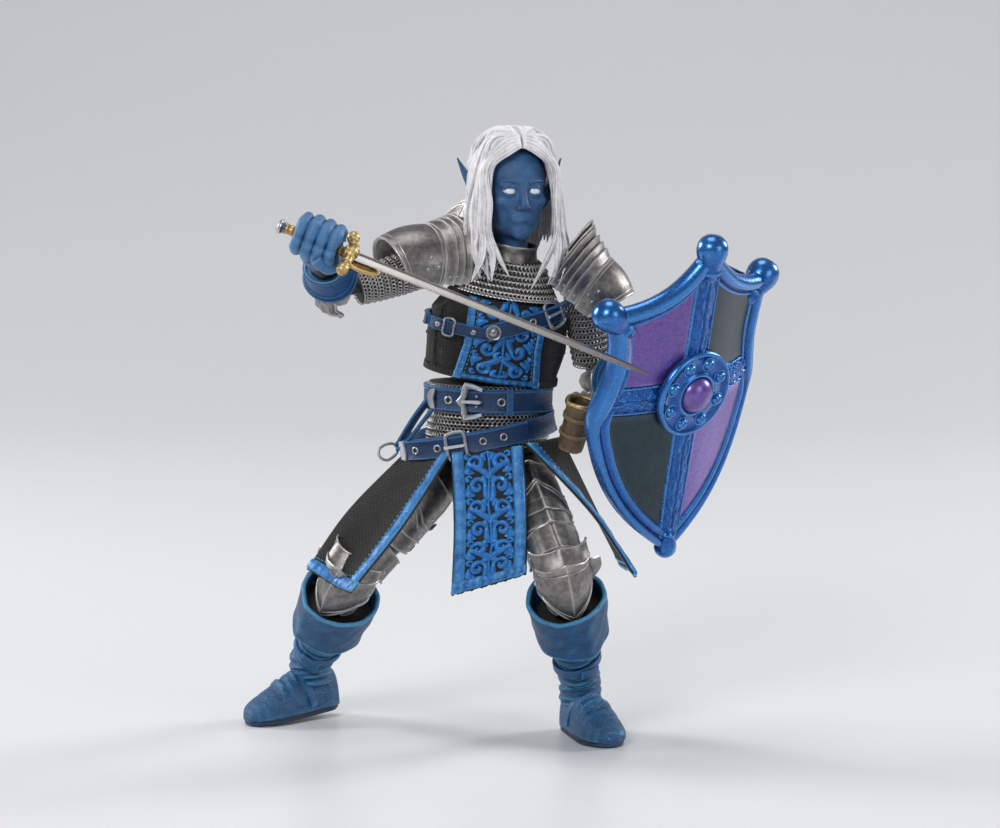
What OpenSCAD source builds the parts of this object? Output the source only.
// Poseable fantasy knight figure with sword and shield, about 1:12 scale.
// Every limb is placed from the centres of its joints, so a change of pose
// or of bone length moves the whole chain below it.

/* [Bones] */
// Hip joint to knee joint
thigh_len = 38.5; // [37:0.5:40]
// Knee joint to ankle joint
shin_len = 36; // [34:0.5:37]
// Shoulder joint to elbow joint
upper_arm_len = 25; // [24:0.5:26]
// Elbow joint to wrist joint
forearm_len = 25; // [24:0.5:26]
// Wrist joint to the middle of the closed fist
fist_reach = 9; // [8.5:0.1:9.5]
// Height of the ankle joint above the sole
ankle_h = 11.2; // [11:0.1:12]
// Half of the distance between the shoulder joints
shoulder_half = 19; // [18.5:0.1:20]
// Half of the distance between the hip joints
hip_half = 8.8; // [8.6:0.1:9.2]

/* [Weapons] */
// Blade length from guard to tip
blade_len = 75; // [60:1:85]
// Blade width at the guard
blade_w = 3.6; // [3:0.1:4.5]
// Shield height without its knobs
shield_h = 84; // [76:1:88]
// Half of the shield's width at the upper corners
shield_half = 25.5; // [24:0.5:27]
// Radius of the shield's curve about its long axis
shield_bend = 54; // [50:1:70]

/* [Joints] */
// Radial running clearance of pins and pegs
run_gap = 0.05; // [0.03:0.01:0.08]
// Clearance beside a hinge disc
side_gap = 0.15; // [0.1:0.01:0.2]
// Radius of the peg holes in the soles
sole_hole_r = 1.5; // [1.3:0.1:1.7]

/* [Hidden] */
$fn = 40;

// Colours
leather = "#1f4f86";
black_cloth = "#262422";
trim_blue = "#2d7fc4";
steel = "#8f8b8a";
mail = "#5d5855";
skin = "#35577f";
white = "#e8e6e4";
gold = "#b79a63";
tan_hide = "#8c7355";
shield_blue = "#1756a8";
violet = "#7d64a6";

// Frames: [origin, x, y, z] with unit axes
function unit(v) = v / norm(v);
function frame(origin, z_dir, x_hint) =
    let (z = unit(z_dir), x = unit(x_hint - (x_hint * z) * z))
    [origin, x, cross(z, x), z];
function pt(f, p) = f[0] + p[0] * f[1] + p[1] * f[2] + p[2] * f[3];
module at(f) {
    multmatrix([
        [f[1][0], f[2][0], f[3][0], f[0][0]],
        [f[1][1], f[2][1], f[3][1], f[0][1]],
        [f[1][2], f[2][2], f[3][2], f[0][2]],
        [0, 0, 0, 1]
    ]) children();
}

// Rest pose of the trunk, figure facing -Y, its right side at -X
hips_mid = [-3.4, 0, 66.2];
pelvis_f = frame(hips_mid, [0.03, 0, 1], [17, 1.5, -1]);
waist_pt = [-3.2, 0, 83.7];
neck_pt = [3, -3, 120.4];
torso_f = frame(waist_pt, neck_pt - waist_pt, [38, 5, -3.5]);
shoulder_z = 30;
shoulder_face = 9;
pauldron_in = 8.4;
pauldron_wall = 1.1;
armhole_r = pauldron_in + pauldron_wall + 0.5;
neck_z = norm(neck_pt - waist_pt);
head_f = frame(neck_pt, [0.02, 0, 1], [cos(16), sin(16), -0.05]);
neck_f = frame(neck_pt, head_f[3], torso_f[1]);

// Rest pose of the arms, side -1 is the figure's right
shoulder_r = pt(torso_f, [-shoulder_half, 0, shoulder_z]);
shoulder_l = pt(torso_f, [shoulder_half, 0, shoulder_z]);
upper_dir_r = unit([-21.5, -9.5, -6]);
upper_dir_l = unit([2.5, 6.5, -24]);
elbow_r = shoulder_r + upper_arm_len * upper_dir_r;
elbow_l = shoulder_l + upper_arm_len * upper_dir_l;
fore_dir_r = unit([-5, -30, 15.5]);
fore_dir_l = unit([15.5, -26.5, 3.5]);
wrist_r = elbow_r + forearm_len * fore_dir_r;
wrist_l = elbow_l + forearm_len * fore_dir_l;
elbow_axis_r = unit(cross(upper_dir_r, fore_dir_r));
elbow_axis_l = unit(cross(upper_dir_l, fore_dir_l));
raise_axis_r = unit(cross(torso_f[1], upper_dir_r));
raise_axis_l = unit(cross(torso_f[1], upper_dir_l));

// Sword and shield directions, which also turn the fists that hold them
blade_dir = unit([67.7, -9, -26.4]);
shield_face = unit([0.622, -0.698, -0.354]);
shield_side = unit([0.775, 0.615, 0.147]);
hand_f_r = frame(wrist_r, -fore_dir_r - (-fore_dir_r * blade_dir) * blade_dir, blade_dir);
hand_f_l = frame(wrist_l, -fore_dir_l - (-fore_dir_l * shield_side) * shield_side, shield_side);
fist_r = pt(hand_f_r, [0, 0, -fist_reach]);
fist_l = pt(hand_f_l, [0, 0, -fist_reach]);
sword_f = frame(fist_r, hand_f_r[3], blade_dir);
shield_f = [fist_l, shield_side, cross(shield_face, shield_side), shield_face];

// Rest pose of the legs
hip_r = pt(pelvis_f, [-hip_half, 0, 0]);
hip_l = pt(pelvis_f, [hip_half, 0, 0]);
thigh_dir_r = unit([-25, -12.5, -26.6]);
thigh_dir_l = unit([9.8, -29.4, -23]);
knee_r = hip_r + thigh_len * thigh_dir_r;
knee_l = hip_l + thigh_len * thigh_dir_l;
shin_dir_r = unit([-10.6, 20.8, -25.4]);
shin_dir_l = unit([4.8, 17, -29.6]);
ankle_r = knee_r + shin_len * shin_dir_r;
ankle_l = knee_l + shin_len * shin_dir_l;
knee_axis_r = unit(cross(thigh_dir_r, shin_dir_r));
knee_axis_l = unit(cross(thigh_dir_l, shin_dir_l));
spread_axis_r = unit(cross(thigh_dir_r, pelvis_f[1]));
spread_axis_l = unit(cross(thigh_dir_l, pelvis_f[1]));

// Feet: the left sole is flat, the right one stands on its toe edge
floor_z = ankle_l[2] - ankle_h;
toe_az_r = 55;
toe_az_l = -22;
sole_front = 19;
toe_round = 6.6;
toe_radius = norm([ankle_h, sole_front]);
pitch_r = atan2(sole_front, ankle_h) - acos((ankle_r[2] - floor_z) / toe_radius);
function foot_frame(ankle, az, pitch) =
    let (toe = [-sin(az) * cos(pitch), -cos(az) * cos(pitch), -sin(pitch)],
         side = [cos(az), -sin(az), 0])
    [ankle, side, -toe, cross(side, -toe)];
foot_f_r = foot_frame(ankle_r, toe_az_r, pitch_r);
foot_f_l = foot_frame(ankle_l, toe_az_l, 0);

// Limb frames: z points up the bone, x is the hinge axis at the bone's top
upper_f_r = frame(shoulder_r, -upper_dir_r, raise_axis_r);
upper_f_l = frame(shoulder_l, -upper_dir_l, raise_axis_l);
elbow_f_r = frame(elbow_r, -upper_dir_r, elbow_axis_r);
elbow_f_l = frame(elbow_l, -upper_dir_l, elbow_axis_l);
fore_f_r = frame(elbow_r, -fore_dir_r, elbow_axis_r);
fore_f_l = frame(elbow_l, -fore_dir_l, elbow_axis_l);
wrist_f_r = frame(wrist_r, -fore_dir_r, hand_f_r[1]);
wrist_f_l = frame(wrist_l, -fore_dir_l, hand_f_l[1]);
thigh_f_r = frame(hip_r, -thigh_dir_r, spread_axis_r);
thigh_f_l = frame(hip_l, -thigh_dir_l, spread_axis_l);
knee_f_r = frame(knee_r, -thigh_dir_r, knee_axis_r);
knee_f_l = frame(knee_l, -thigh_dir_l, knee_axis_l);
shin_f_r = frame(knee_r, -shin_dir_r, knee_axis_r);
shin_f_l = frame(knee_l, -shin_dir_l, knee_axis_l);
ankle_f_r = frame(ankle_r, -shin_dir_r, foot_f_r[1]);
ankle_f_l = frame(ankle_l, -shin_dir_l, foot_f_l[1]);

// Link sizes: [disc radius, disc width, pin radius, pin length each side, peg radius, peg length]
LIMB = [2.5, 2.4, 0.9, 1.1, 1.3, 4];
HIP = [3, 2.8, 1, 1.1, 1.4, 3];
WRIST = [1.5, 1.5, 0.5, 0.6, 0.8, 3];
NECK = [2.2, 2.4, 0.8, 1, 1.25, 4];
WAIST = [4, 5, 1.5, 2, 2.5, 6];
limb_ear = 3.7;
knee_ear = 4.2;
hip_ear = 4.8;
wrist_ear = 2.2;
waist_dome = 7;
ear_gap = 0.9;

// A hinge disc with its two stub pins and the peg that turns in the next piece
module link(size, host) {
    rotate([0, 90, 0]) cylinder(r = size[0], h = size[1], center = true);
    rotate([0, 90, 0]) cylinder(r = size[2], h = size[1] + 2 * size[3], center = true);
    cylinder(r = size[4], h = host + size[5]);
}
// The slot and the blind pin holes that take a link's disc
module link_slot(size, reach) {
    rotate([0, 90, 0]) cylinder(r = reach, h = size[1] + 2 * side_gap, center = true);
    rotate([0, 90, 0]) cylinder(
        r = size[2] + run_gap, h = size[1] + 2 * size[3] + 2 * side_gap, center = true);
}
// The hole that takes a link's peg, in the link's frame
module peg_hole(size, host) {
    cylinder(r = size[4] + run_gap, h = host + size[5] + 2 * side_gap);
}

// Outlines
function oval(a, b, n = 36) = [for (i = [0:n - 1]) [a * cos(360 * i / n), b * sin(360 * i / n)]];
module slab(a, b, z, h = 0.2) {
    translate([0, 0, z]) linear_extrude(h) polygon(oval(a, b));
}
module oval_ring(a, b, wall, h) {
    linear_extrude(h) difference() {
        polygon(oval(a + wall, b + wall));
        polygon(oval(a, b));
    }
}

// Trunk
waist_a = 13.6;
waist_b = 9.4;
module pelvis_block() {
    color(mail) difference() {
        union() {
            at(pelvis_f) {
                hull() {
                    slab(waist_a, waist_b, 7.5);
                    slab(waist_a - 0.6, waist_b - 0.4, 16);
                }
                translate([-3.6, -4, -6]) cube([7.2, 8, 14]);
            }
            translate(waist_pt) sphere(waist_dome);
        }
        at(torso_f) link_slot(WAIST, waist_dome + 0.2);
        at(pelvis_f) for (side = [-1, 1]) {
            translate([side * hip_half, 0, 0]) rotate([0, -90 * side, 0])
                peg_hole(HIP, hip_half - 3.6);
        }
    }
}
mail_wall = 1;
module mail_skirt() {
    color(mail) at(pelvis_f) translate([0, 0, 6.9])
        oval_ring(waist_a + 0.1, waist_b + 0.1, mail_wall, 12.6);
}
belt_in_a = waist_a + mail_wall + 0.2;
belt_in_b = waist_b + mail_wall + 0.2;
module waist_belt() {
    color(leather) at(pelvis_f) translate([0, 0, 13.4]) {
        oval_ring(belt_in_a, belt_in_b, 1.3, 6);
        translate([-2.4, -belt_in_b - 1.2, -0.8]) rotate([90, 0, 0])
            linear_extrude(1.1) difference() {
                translate([-3.5, 0]) square([7, 7.6]);
                translate([-2.2, 1.4]) square([4.4, 4.8]);
            }
    }
}
hip_belt_a = 16.6;
hip_belt_b = 12.2;
module hip_belt() {
    color(leather) at(pelvis_f) translate([0, 0, 4.4]) rotate([0, -8, 0]) {
        oval_ring(hip_belt_a, hip_belt_b, 1.3, 5.2);
        translate([-5, -hip_belt_b - 0.9, -0.6]) rotate([90, 0, 0])
            linear_extrude(1.1) difference() {
                translate([-3, 0]) square([6, 6.4]);
                translate([-1.9, 1.2]) square([3.8, 4]);
            }
    }
}
// A flap of soft sheet between two level lines, bent once at its middle
sheet_t = 0.9;
module flap(lines) {
    for (i = [0, 1]) {
        hull() for (line = [lines[i], lines[i + 1]], p = line) {
            translate(p) sphere(d = sheet_t, $fn = 12);
        }
    }
}
front_lines = [[[-10.8, -15.6, 69.4], [6.2, -15.6, 69.8]], [[-11, -21.6, 54], [6.4, -22, 55.2]],
    [[-11.6, -24.6, 37.6], [6.2, -26, 43]]];
back_lines = [[[-10, 15, 69.8], [5, 15, 69.8]], [[-10.5, 18, 54], [6, 18, 54]],
    [[-11, 20, 39], [7, 20, 39]]];
right_lines = [[[-24.6, -4, 68.4], [-12.6, -16.8, 67.6]], [[-37, -11, 56], [-23.5, -25, 53.9]],
    [[-46.6, -16.5, 42.4], [-35.6, -29, 38.6]]];
left_lines = [[[8.6, -15.6, 70.6], [16.8, -5.4, 70.6]], [[22.3, -15, 56.2], [22.5, 0, 56.8]],
    [[32.8, -15, 40.4], [29, 2, 42.8]]];
module front_tabard() {
    color(trim_blue) flap(front_lines);
}
module back_tabard() {
    color(black_cloth) flap(back_lines);
}
module skirt_right() {
    color(black_cloth) flap(right_lines);
}
module skirt_left() {
    color(black_cloth) flap(left_lines);
}
loop_f = frame([18.6, -10.2, 77.4], [0.2, -0.35, 0.92], [1, 0, 0]);
loop_r = 2.6;
loop_len = 13;
module scabbard_loop() {
    color(tan_hide) at(loop_f) translate([0, 0, -loop_len / 2]) difference() {
        union() {
            cylinder(r = loop_r + 0.8, h = loop_len);
            translate([0, 0, loop_len - 1.8]) cylinder(r = loop_r + 1.3, h = 1.8);
        }
        translate([0, 0, 1.5]) cylinder(r = loop_r, h = loop_len);
    }
}
// A strap that falls from the belt to a ring at the figure's right side
module sword_hanger() {
    color(leather) {
        hull() for (p = [[-19, -6, 82], [-24.2, -3, 71.6]]) {
            translate(p) rotate([0, 25, 20]) cube([0.9, 3, 1.6], center = true);
        }
        translate([-28.4, -2.6, 69.6]) rotate([0, 40, 20]) {
            rotate([90, 0, 0]) rotate_extrude() translate([2, 0]) circle(d = 0.9, $fn = 16);
            translate([0, 0, 4]) cube([0.9, 2.4, 4], center = true);
        }
    }
}
module waist_link() {
    color(steel) at(torso_f) link(WAIST, waist_dome + ear_gap);
}

// Chest and what is fixed to it, in the torso's frame
chest_profile = [[5, 16.2, 10.2], [14, 17.4, 11.2], [23, 16.4, 10.8], [27.5, 14, 9.4], [32.5, 8.6, 7]];
neck_face = 32.7;
module chest_solid(grow = 0) {
    hull() for (row = chest_profile) slab(row[1] + grow, row[2] + grow, row[0]);
}
module chest() {
    color(black_cloth) difference() {
        chest_body();
        at(neck_f) link_slot(NECK, 4.1);
    }
}
module chest_body() {
    at(torso_f) difference() {
        union() {
            chest_solid();
            translate([0, 0, neck_z]) sphere(3.9);
            translate([0, 0, neck_face - 1]) cylinder(r = 3.9, h = neck_z - neck_face + 1);
        }
        sphere(waist_dome + 0.5);
        peg_hole(WAIST, waist_dome + ear_gap);
        for (side = [-1, 1]) {
            translate([side * shoulder_half, 0, shoulder_z]) rotate([0, -90 * side, 0])
                peg_hole(LIMB, shoulder_half - shoulder_face);
            translate([side * shoulder_half, 0, shoulder_z]) sphere(armhole_r);
        }
    }
}
// The embroidered cloth over the chest's front
module surcoat_panel() {
    color(trim_blue) at(torso_f) intersection() {
        difference() {
            chest_solid(1);
            chest_solid(0.1);
        }
        translate([-9.5, -14, 5.4]) cube([19.5, 14, 21]);
    }
}
module mail_collar() {
    color(mail) at(torso_f) difference() {
        hull() {
            slab(14.2, 12.4, 27.4);
            slab(7.4, 6.6, 34.6);
        }
        hull() {
            slab(13.2, 11.4, 27.2);
            slab(6.2, 5.6, 34.8);
        }
        chest_solid(0.1);
        for (side = [-1, 1]) {
            translate([side * shoulder_half, 0, shoulder_z]) sphere(armhole_r);
        }
    }
}
module gorget() {
    color(steel) at(torso_f) translate([0, 0, neck_face + 0.1]) difference() {
        cylinder(r1 = 5.4, r2 = 4.8, h = 4.2);
        translate([0, 0, -0.5]) cylinder(r = 4.1, h = 6);
    }
}
module chest_strap() {
    color(leather) at(torso_f) {
        intersection() {
            difference() {
                chest_solid(2.1);
                chest_solid(1.1);
                for (side = [-1, 1]) {
                    translate([side * shoulder_half, 0, shoulder_z]) sphere(armhole_r);
                }
            }
            translate([0, -6, 18.5]) rotate([0, -20, 0]) cube([40, 20, 4], center = true);
            translate([-19, -16, 5.2]) cube([38, 16, 22]);
        }
    }
}

// Head
module neck_link() {
    color(skin) at(neck_f) link(NECK, 4.8);
}
module head() {
    color(skin) at(head_f) difference() {
        union() {
            hull() {
                translate([0, -0.5, 17]) sphere(8.2, $fn = 32);
                translate([0, 1.5, 16.5]) sphere(8.2, $fn = 32);
                translate([0, -4.2, 5.6]) sphere(2.8, $fn = 32);
                translate([0, -2, 10]) sphere(6.6, $fn = 32);
            }
            translate([0, 0.6, 4.8]) cylinder(r = 3.8, h = 8);
            for (side = [-1, 1]) hull() {
                translate([side * 7.4, 0.6, 12]) sphere(1.1, $fn = 16);
                translate([side * 10.8, 3.4, 19.4]) sphere(0.6, $fn = 16);
            }
        }
        peg_hole(NECK, 4.8);
    }
}
module hair() {
    color(white) at(head_f) difference() {
        union() {
            hull() {
                translate([0, 1.2, 19]) sphere(11, $fn = 32);
                translate([0, 4.4, 12]) sphere(9.4, $fn = 32);
                translate([0, 8, 3]) sphere(5.4, $fn = 32);
            }
            for (side = [-1, 1]) {
                hull() {
                    translate([side * 6.6, -5.6, 21]) sphere(3, $fn = 20);
                    translate([side * 9, -5.6, 8]) sphere(1.8, $fn = 20);
                }
                hull() {
                    translate([side * 9, -5.6, 8]) sphere(1.8, $fn = 20);
                    translate([side * 7.6, -12.6, -6]) sphere(1, $fn = 20);
                }
            }
        }
        hull() {
            translate([0, -0.5, 17]) sphere(8.5, $fn = 32);
            translate([0, -8.5, 18]) sphere(6.2, $fn = 32);
            translate([0, 1.5, 16.5]) sphere(8.5, $fn = 32);
            translate([0, -8, 4.6]) sphere(7, $fn = 32);
            translate([0, -2, 9]) sphere(7.4, $fn = 32);
        }
        translate([0, 0, -2]) cylinder(r = 8.2, h = 14);
        translate([0, 0, -14]) cylinder(r1 = 20, r2 = 9.6, h = 14);
        for (side = [-1, 1]) hull() {
            translate([side * 7.4, 0.6, 12]) sphere(1.4, $fn = 16);
            translate([side * 10.8, 3.4, 19.4]) sphere(0.9, $fn = 16);
        }
    }
}

// Arms: the pieces are the same on both sides
upper_end = 4.8;
module shoulder_link(shoulder, side, raise_axis) {
    color(mail) at(frame(shoulder, -side * torso_f[1], raise_axis))
        link(LIMB, shoulder_half - shoulder_face);
}
module upper_arm(f, shoulder_dir, elbow_f) {
    color(mail) difference() {
        at(f) union() {
            sphere(4.5);
            translate([0, 0, -12]) cylinder(r1 = 4.3, r2 = 4.5, h = 12);
            translate([0, 0, upper_end - upper_arm_len])
                cylinder(r1 = 3, r2 = 4.3, h = upper_arm_len - upper_end - 12);
        }
        at(frame(f[0], shoulder_dir, f[1])) link_slot(LIMB, 4.7);
        at(elbow_f) peg_hole(LIMB, upper_end);
    }
}
// A ball shell over the shoulder, cut away for the arm and the shoulder's peg
pauldron_r_top = unit(torso_f[3] - 0.25 * torso_f[1] - 0.1 * torso_f[2]);
pauldron_l_top = unit(torso_f[1] + 0.55 * torso_f[3]);
module pauldron(shoulder, top, arm_dir, chest_dir, arm_opening) {
    reach = pauldron_in + 3;
    color(steel) difference() {
        translate(shoulder) sphere(pauldron_in + pauldron_wall);
        translate(shoulder) sphere(pauldron_in);
        at(frame(shoulder, top, torso_f[2])) translate([0, 0, -reach - 0.4]) cube(2 * reach, center = true);
        at(frame(shoulder, arm_dir, top)) cylinder(r1 = 0, r2 = reach * tan(arm_opening), h = reach);
        at(frame(shoulder, chest_dir, top)) cylinder(r1 = 0, r2 = reach * tan(38), h = reach);
    }
}
module right_pauldron() {
    pauldron(shoulder_r, pauldron_r_top, upper_dir_r, torso_f[1], 44);
}
module left_pauldron() {
    pauldron(shoulder_l, pauldron_l_top, upper_dir_l, -torso_f[1], 52);
}
module elbow_link(f) {
    color(mail) at(f) link(LIMB, upper_end);
}
module couter(f, back) {
    color(steel) at(f) difference() {
        sphere(6.1);
        sphere(5.1);
        translate([-10, -10 + back * 8.6, -10]) cube([20, 20, 20]);
        translate([0, 0, -13.9]) cube([20, 20, 20], center = true);
        translate([0, 0, 13.6]) cube([20, 20, 20], center = true);
    }
}
fore_end = 2.6;
module forearm(f, wrist_f) {
    color(steel) difference() {
        at(f) union() {
            sphere(limb_ear);
            translate([0, 0, -5]) cylinder(r1 = 3.4, r2 = 3.2, h = 5);
            translate([0, 0, -14]) cylinder(r1 = 4.2, r2 = 3.4, h = 9);
            translate([0, 0, fore_end - forearm_len])
                cylinder(r1 = 2.8, r2 = 4.2, h = forearm_len - fore_end - 14);
        }
        at(f) link_slot(LIMB, limb_ear + 1.3);
        at(wrist_f) peg_hole(WRIST, fore_end);
    }
}
module gauntlet_cuff(f) {
    color(leather) at(f) difference() {
        union() {
            translate([0, 0, -17.5]) cylinder(r1 = 5.2, r2 = 6, h = 4.5);
            translate([0, 0, -13]) cylinder(r1 = 6, r2 = 6.5, h = 2.5);
        }
        translate([0, 0, -18]) cylinder(r = 4.4, h = 4.5);
        translate([0, 0, -14]) cylinder(r1 = 4.8, r2 = 5.8, h = 4);
    }
}
module wrist_link(f) {
    color(leather) at(f) link(WRIST, fore_end);
}
grip_r = 1.3;
fist_half = [5.6, 4.6, 4.6];
fist_r_max = 5.4;
module hand(f, wrist_f) {
    color(leather) difference() {
        at(f) union() {
            sphere(wrist_ear);
            translate([0, 0, -5]) cylinder(r1 = 3, r2 = wrist_ear, h = 5);
            translate([0, 0, -fist_reach]) intersection() {
                rotate([0, 90, 0]) cylinder(r = fist_r_max, h = 2 * fist_half[0], center = true);
                cube(2 * fist_half, center = true);
            }
        }
        at(wrist_f) link_slot(WRIST, wrist_ear + 0.3);
        at(f) translate([0, 0, -fist_reach]) rotate([0, 90, 0])
            cylinder(r = grip_r + run_gap, h = 16, center = true);
    }
}

// Legs
module hip_link(hip, side, spread_axis) {
    color(steel) at(frame(hip, -side * pelvis_f[1], spread_axis)) link(HIP, hip_half - 3.6);
}
knee_end = 5;
module thigh(f, side, knee_f) {
    color(steel) difference() {
        at(f) union() {
            sphere(hip_ear);
            translate([0, 0, -7]) cylinder(r1 = 6.4, r2 = hip_ear, h = 7);
            translate([0, 0, -16]) cylinder(r1 = 6.4, r2 = 6.4, h = 9);
            translate([0, 0, knee_end - thigh_len])
                cylinder(r1 = 3.6, r2 = 6.4, h = thigh_len - knee_end - 16);
        }
        at(frame(f[0], -side * pelvis_f[1], f[1])) link_slot(HIP, hip_ear + 0.3);
        at(knee_f) peg_hole(LIMB, knee_end);
    }
}
module knee_link(f) {
    color(steel) at(f) link(LIMB, knee_end);
}
// The knee cap is held by two arms on the ends of the knee's thigh peg
module poleyn(f) {
    color(steel) at(f) difference() {
        hull() {
            sphere(6.6, $fn = 32);
            translate([0, -7.4, -1.6]) sphere(0.8, $fn = 16);
        }
        hull() {
            sphere(5.7, $fn = 32);
            translate([0, -6.4, -1.4]) sphere(0.8, $fn = 16);
        }
        translate([-10, 0.4, -10]) cube([20, 20, 20]);
        translate([0, 0, -14]) cube([20, 30, 20], center = true);
        translate([0, 0, 14.4]) cube([20, 30, 20], center = true);
    }
}
cuff_r = 9.6;
shaft_r = 5.4;
shin_end = 5;
module shin(f, ankle_f) {
    color(leather) difference() {
        at(f) union() {
            sphere(knee_ear - 0.3);
            translate([0, 0, -12]) cylinder(r1 = 5, r2 = 3.4, h = 12);
            difference() {
                translate([0, 0, -18.5]) cylinder(r1 = 8.6, r2 = cuff_r, h = 12);
                translate([0, 0, -14]) cylinder(r1 = 7.6, r2 = 8.7, h = 12);
            }
            translate([0, 0, -22]) cylinder(r1 = shaft_r, r2 = 7, h = 10);
            translate([0, 0, shin_end - shin_len])
                cylinder(r1 = 4.6, r2 = shaft_r, h = shin_len - shin_end - 22);
        }
        at(f) link_slot(LIMB, knee_ear + 0.2);
        at(ankle_f) peg_hole(LIMB, shin_end);
    }
}
module ankle_link(f) {
    color(leather) at(f) link(LIMB, shin_end);
}
foot_outline = concat(
    [for (a = [0:15:180]) [5.6 * cos(a), toe_round - sole_front - toe_round * sin(a)]],
    [for (a = [0:20:180]) [-4.4 * cos(a), 3.4 + 4.2 * sin(a)]]);
module foot(f, ankle_f) {
    color(leather) difference() {
        at(f) union() {
            sphere(3.9);
            difference() {
                hull() {
                    translate([0, 0, -ankle_h]) linear_extrude(1.2) polygon(foot_outline);
                    translate([0, -12, 3.3 - ankle_h]) sphere(3.2, $fn = 24);
                    translate([0, 0.6, -3.6]) sphere(4.4, $fn = 24);
                }
                translate([0, 0, 9.2]) cube([30, 60, 20], center = true);
            }
        }
        at(ankle_f) link_slot(LIMB, 4.3);
        at(f) translate([0, -4, -ankle_h - 1]) cylinder(r = sole_hole_r, h = 5);
    }
}

// Sword, in a frame with x along the blade and its origin in the fist
guard_x = 7.4;
module sword_blade() {
    color(steel) at(sword_f) rotate([-38, 0, 0]) translate([guard_x + 1.1, 0, 0]) rotate([0, 90, 0])
        linear_extrude(blade_len - 12) polygon([
            for (a = [0:90:270]) [cos(a) * 0.55, sin(a) * blade_w / 2]]);
    color(steel) at(sword_f) rotate([-38, 0, 0]) translate([guard_x + 1.1 + blade_len - 12, 0, 0]) hull() {
        rotate([0, 90, 0]) linear_extrude(0.1) polygon([
            for (a = [0:90:270]) [cos(a) * 0.55, sin(a) * blade_w / 2]]);
        translate([11.6, 0, 0]) sphere(0.3, $fn = 12);
    }
}
module sword_hilt() {
    color(gold) at(sword_f) rotate([-38, 0, 0]) difference() {
        union() {
            translate([-8, 0, 0]) rotate([0, 90, 0]) cylinder(r = grip_r, h = guard_x + 9);
            translate([guard_x - 0.6, -7, -0.9]) cube([1.6, 14, 1.8]);
            for (side = [-1, 1]) {
                translate([guard_x + 0.2 + side * 0.8, side * 7, 0]) sphere(1.5, $fn = 24);
            }
            translate([-9.6, 0, 0]) rotate([0, 90, 0]) cylinder(r = 1.7, h = 2);
        }
        translate([guard_x + 1.05, -3, -3]) cube([4, 6, 6]);
    }
}

// Shield, in a frame with z out of its face, y up and its origin in the fist
plate_back = 6.2;
plate_t = 1.4;
boss_up = 0;
top_y = shield_h * 0.465;
low_y = top_y - shield_h;
corner_y = shield_h * 0.285;
waist_y = -shield_h * 0.05;
waist_half = shield_half * 1.04;
// One edge of the outline: straight chord from a to b, bowed by a sine to its left
function bowed(a, b, bow, n = 8) =
    let (d = b - a, side = [-d[1], d[0]] / norm(d))
    [for (i = [0:n - 1]) a + d * i / n + side * bow * sin(180 * i / n)];
function half_outline(k) = concat(
    bowed([0, top_y * k], [shield_half * k, corner_y * k], -3.4 * k),
    bowed([shield_half * k, corner_y * k], [waist_half * k, waist_y * k], -3.2 * k),
    bowed([waist_half * k, waist_y * k], [0, low_y * k], 5.4 * k, 12));
function outline(k) =
    let (half = half_outline(k), n = len(half))
    concat(half, [[0, low_y * k]], [for (i = [n - 1:-1:1]) [-half[i][0], half[i][1]]]);
// A slice of a tube wall bent about the shield's long axis
module bent_wall(back, wall) {
    translate([0, 60, plate_back - shield_bend]) rotate([90, 0, 0]) difference() {
        cylinder(r = shield_bend + back + wall, h = 120, $fn = 96);
        translate([0, 0, -1]) cylinder(r = shield_bend + back, h = 122, $fn = 96);
    }
}
module shield_plate() {
    color(violet) at(shield_f) intersection() {
        bent_wall(0, plate_t);
        translate([0, 0, -20]) linear_extrude(40) polygon(outline(0.915));
    }
}
knob_r = 3;
module shield_rim() {
    color(shield_blue) at(shield_f) {
        intersection() {
            bent_wall(-1, 3.4);
            translate([0, 0, -20]) linear_extrude(40) difference() {
                polygon(outline(1));
                polygon(outline(0.92));
            }
        }
        drop = shield_bend - sqrt(shield_bend * shield_bend - shield_half * shield_half);
        for (p = [[0, top_y + 1.4, 0], [shield_half + 1, corner_y, -drop],
                  [-shield_half - 1, corner_y, -drop], [0, low_y + 1, 0]]) {
            translate(p + [0, 0, plate_back + plate_t / 2]) sphere(knob_r);
        }
    }
}
boss_r = 10.4;
module shield_boss() {
    color(shield_blue) at(shield_f) translate([0, boss_up, plate_back + plate_t + 0.1]) {
        cylinder(r1 = boss_r, r2 = boss_r - 0.8, h = 1.6);
        intersection() {
            translate([0, 0, -1.4]) sphere(5.6);
            cylinder(r = 6, h = 6);
        }
        for (a = [22.5:45:360]) rotate(a) translate([boss_r - 3, 0, 1.6]) sphere(0.8, $fn = 24);
    }
}
module shield_handle() {
    color(shield_blue) at(shield_f) {
        rotate([0, 90, 0]) cylinder(r = grip_r, h = 16.6, center = true);
        for (side = [-1, 1]) translate([side * 7.4, 0, -1.3]) {
            translate([-0.9, -1.3, 0]) cube([1.8, 2.6, plate_back + 0.8]);
        }
    }
}

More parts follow.
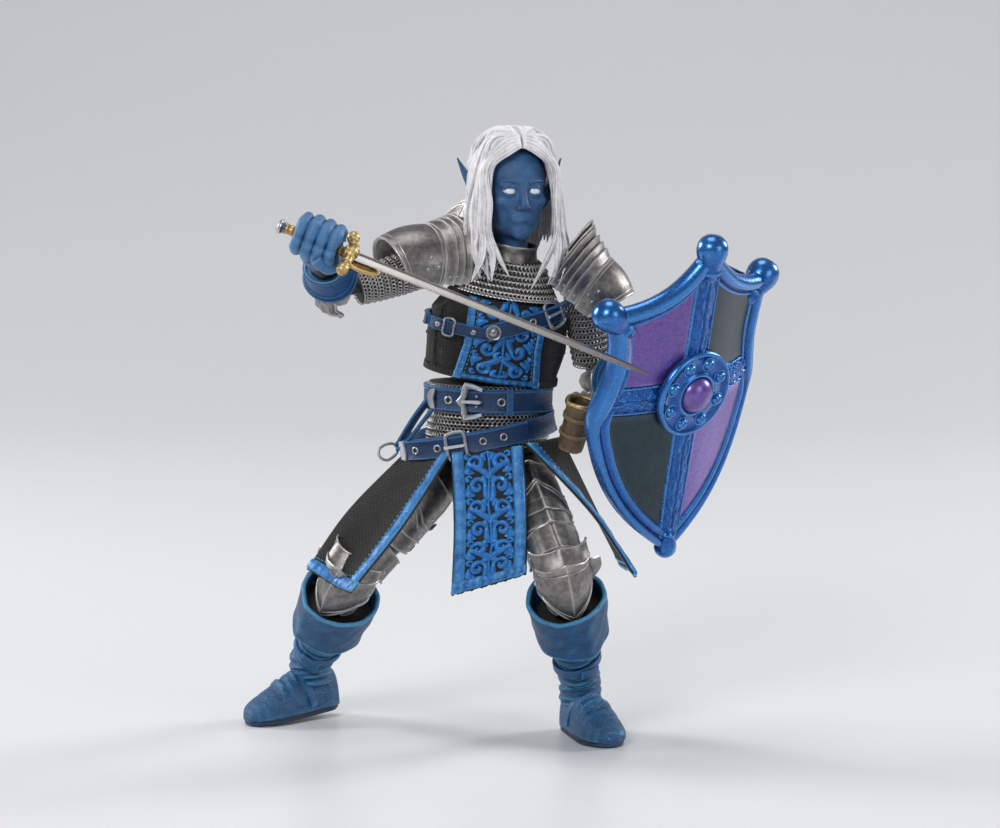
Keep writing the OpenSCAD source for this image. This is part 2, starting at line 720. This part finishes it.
// Moves the sole's level to zero and the middle of the figure's box over the origin
box_shift = [-1.72, 17.54, -floor_z];
module world() {
    translate(box_shift) children();
}
world() pelvis_block();
world() mail_skirt();
world() waist_belt();
world() hip_belt();
world() front_tabard();
world() back_tabard();
world() skirt_right();
world() skirt_left();
world() scabbard_loop();
world() sword_hanger();
world() waist_link();
world() chest();
world() surcoat_panel();
world() mail_collar();
world() gorget();
world() chest_strap();
world() neck_link();
world() head();
world() hair();
world() shoulder_link(shoulder_r, -1, raise_axis_r);  // shoulder_link_r
world() shoulder_link(shoulder_l, 1, raise_axis_l);  // shoulder_link_l
world() upper_arm(upper_f_r, torso_f[1], elbow_f_r);  // upper_arm_r
world() upper_arm(upper_f_l, -torso_f[1], elbow_f_l);  // upper_arm_l
world() right_pauldron();  // pauldron_r
world() left_pauldron();  // pauldron_l
world() elbow_link(elbow_f_r);  // elbow_link_r
world() elbow_link(elbow_f_l);  // elbow_link_l
world() couter(fore_f_r, 1);  // couter_r
world() couter(fore_f_l, 1);  // couter_l
world() forearm(fore_f_r, wrist_f_r);  // forearm_r
world() forearm(fore_f_l, wrist_f_l);  // forearm_l
world() gauntlet_cuff(fore_f_r);  // gauntlet_cuff_r
world() gauntlet_cuff(fore_f_l);  // gauntlet_cuff_l
world() wrist_link(wrist_f_r);  // wrist_link_r
world() wrist_link(wrist_f_l);  // wrist_link_l
world() hand(hand_f_r, wrist_f_r);  // hand_r
world() hand(hand_f_l, wrist_f_l);  // hand_l
world() hip_link(hip_r, -1, spread_axis_r);  // hip_link_r
world() hip_link(hip_l, 1, spread_axis_l);  // hip_link_l
world() thigh(thigh_f_r, -1, knee_f_r);  // thigh_r
world() thigh(thigh_f_l, 1, knee_f_l);  // thigh_l
world() knee_link(knee_f_r);  // knee_link_r
world() knee_link(knee_f_l);  // knee_link_l
world() poleyn(knee_f_r);  // poleyn_r
world() poleyn(knee_f_l);  // poleyn_l
world() shin(shin_f_r, ankle_f_r);  // shin_r
world() shin(shin_f_l, ankle_f_l);  // shin_l
world() ankle_link(ankle_f_r);  // ankle_link_r
world() ankle_link(ankle_f_l);  // ankle_link_l
world() foot(foot_f_r, ankle_f_r);  // foot_r
world() foot(foot_f_l, ankle_f_l);  // foot_l
world() sword_blade();
world() sword_hilt();
world() shield_plate();
world() shield_rim();
world() shield_boss();
world() shield_handle();
